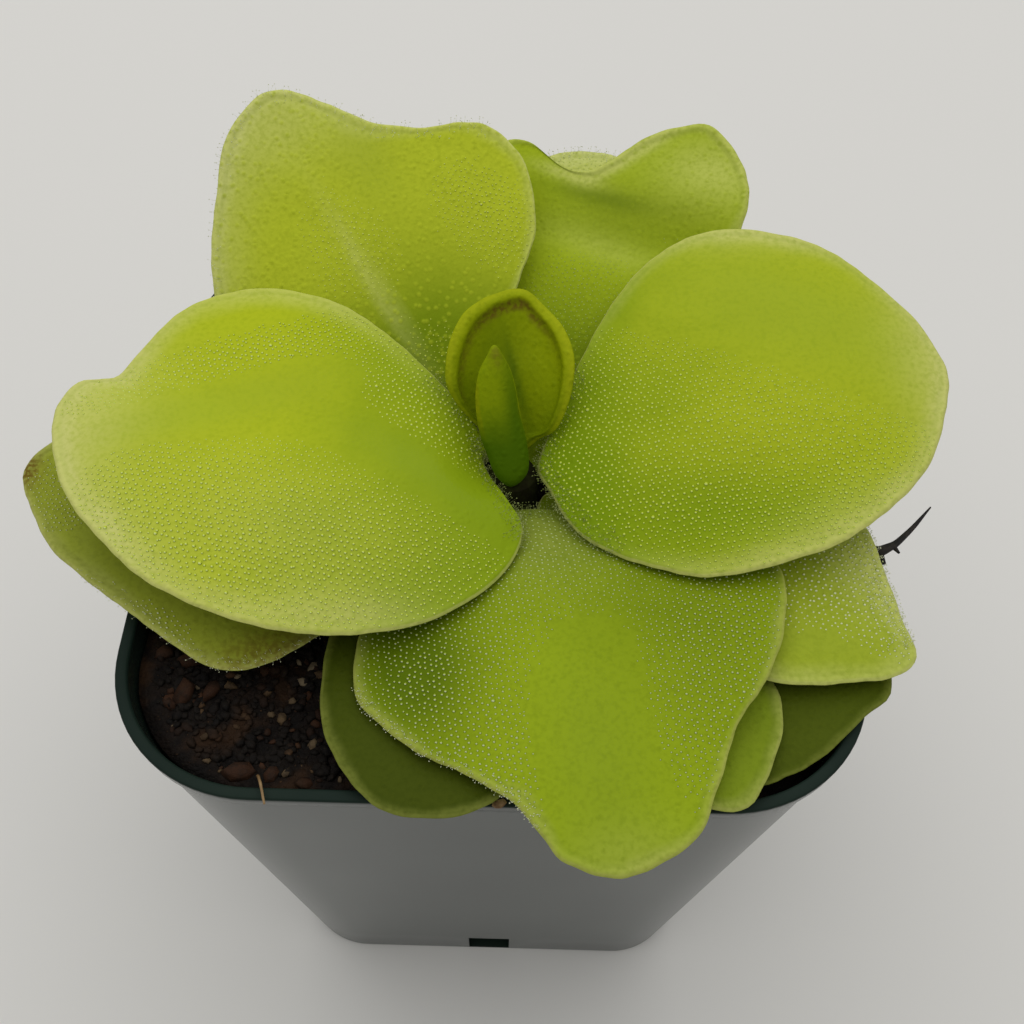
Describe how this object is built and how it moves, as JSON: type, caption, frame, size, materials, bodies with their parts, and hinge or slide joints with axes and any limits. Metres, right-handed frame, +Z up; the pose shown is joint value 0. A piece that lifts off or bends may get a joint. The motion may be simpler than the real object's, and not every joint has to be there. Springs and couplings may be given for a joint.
{
  "type": "potted butterwort",
  "caption": "Butterwort with broad yellow-green leaves in a low rosette, growing in a square dark green nursery pot filled with peat mix",
  "frame": {"origin": "the middle of the flat face under the pot, on the surface it stands on", "axes": "+Z up out of the pot, -Y towards the viewer of the picture, square to the pot's front wall, +X to the viewer's right"},
  "size_m": [0.0998, 0.093, 0.1055],
  "materials": {
    "pot": "satin",
    "mix": "rough",
    "crown": "matte",
    "leaf": "satin",
    "twig": "rough",
    "straw": "matte",
    "crumb": "rough"
  },
  "bodies": {
    "root": {"pot": "pot", "soil": "mix", "crown": "crown", "leaf_left": "leaf", "leaf_left_low": "leaf", "leaf_back_left": "leaf", "leaf_back_right": "leaf", "leaf_back_low": "leaf", "leaf_right": "leaf", "leaf_right_low": "leaf", "leaf_right_lowest": "leaf", "leaf_front_right": "leaf", "leaf_front_left": "leaf", "leaf_front": "leaf", "leaf_cupped": "leaf", "leaf_youngest": "leaf", "twig": "twig", "straw": "straw", "crumb": "crumb"}
  },
  "joints": []
}
